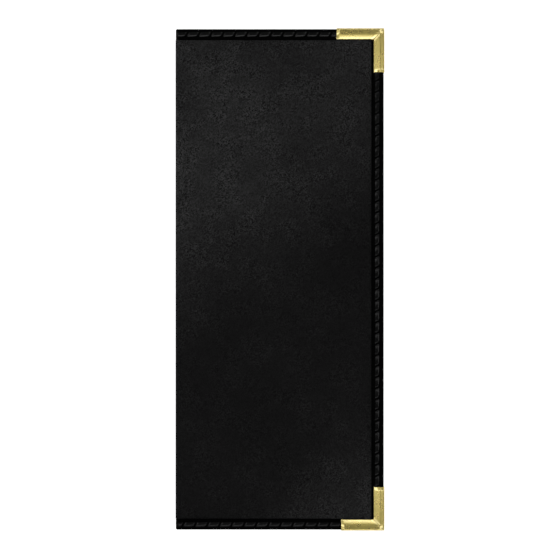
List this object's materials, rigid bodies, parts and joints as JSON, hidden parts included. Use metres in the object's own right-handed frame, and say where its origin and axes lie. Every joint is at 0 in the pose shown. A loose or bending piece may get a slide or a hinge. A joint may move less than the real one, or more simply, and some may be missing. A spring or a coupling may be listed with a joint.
{
  "type": "menu cover",
  "caption": "Tall padded booklet menu cover: two board leaves on a soft spine, stitched bound edges, brass corners at the free edge and clear sheet pockets inside.",
  "frame": {"origin": "under the middle of the closed cover, on the back cover's outer face", "axes": "+X from the spine to the free edge, +Y from foot to head, +Z from the back cover to the front cover"},
  "size_m": [0.1218, 0.2928, 0.0089],
  "materials": {
    "leatherette": "fine embossed grain, satin",
    "binding": "smooth, satin",
    "thread": "waxed",
    "foam": "open cell",
    "greyboard": "raw",
    "lining_cloth": "woven book cloth",
    "clear_film": "clear",
    "brass": "polished and lacquered"
  },
  "bodies": {
    "back_leaf": {"back_cover": "leatherette", "back_padding": "foam", "back_board": "greyboard", "back_lining": "lining_cloth", "back_pocket": "clear_film", "back_head_binding": "binding", "back_foot_binding": "binding", "back_fore_edge_binding": "binding", "back_head_stitches": "thread", "back_foot_stitches": "thread", "back_fore_edge_stitches": "thread", "back_head_corner": "brass", "back_foot_corner": "brass"},
    "spine": {"spine_cover": "leatherette", "spine_lining": "lining_cloth", "spine_head_binding": "binding", "spine_foot_binding": "binding", "spine_head_stitch": "thread", "spine_foot_stitch": "thread"},
    "front_leaf": {"front_cover": "leatherette", "front_padding": "foam", "front_board": "greyboard", "front_lining": "lining_cloth", "front_pocket": "clear_film", "front_head_binding": "binding", "front_foot_binding": "binding", "front_fore_edge_binding": "binding", "front_head_stitches": "thread", "front_foot_stitches": "thread", "front_fore_edge_stitches": "thread", "front_head_corner": "brass", "front_foot_corner": "brass"}
  },
  "joints": [
    {"name": "back_fold", "type": "hinge", "parent": "back_leaf", "child": "spine", "pos_m": [-0.06053, 0, 0.00035], "axis": [0, -1, 0], "range_deg": [0, 90]},
    {"name": "front_fold", "type": "hinge", "parent": "spine", "child": "front_leaf", "pos_m": [-0.06053, 0, 0.00855], "axis": [0, -1, 0], "range_deg": [0, 90]}
  ]
}
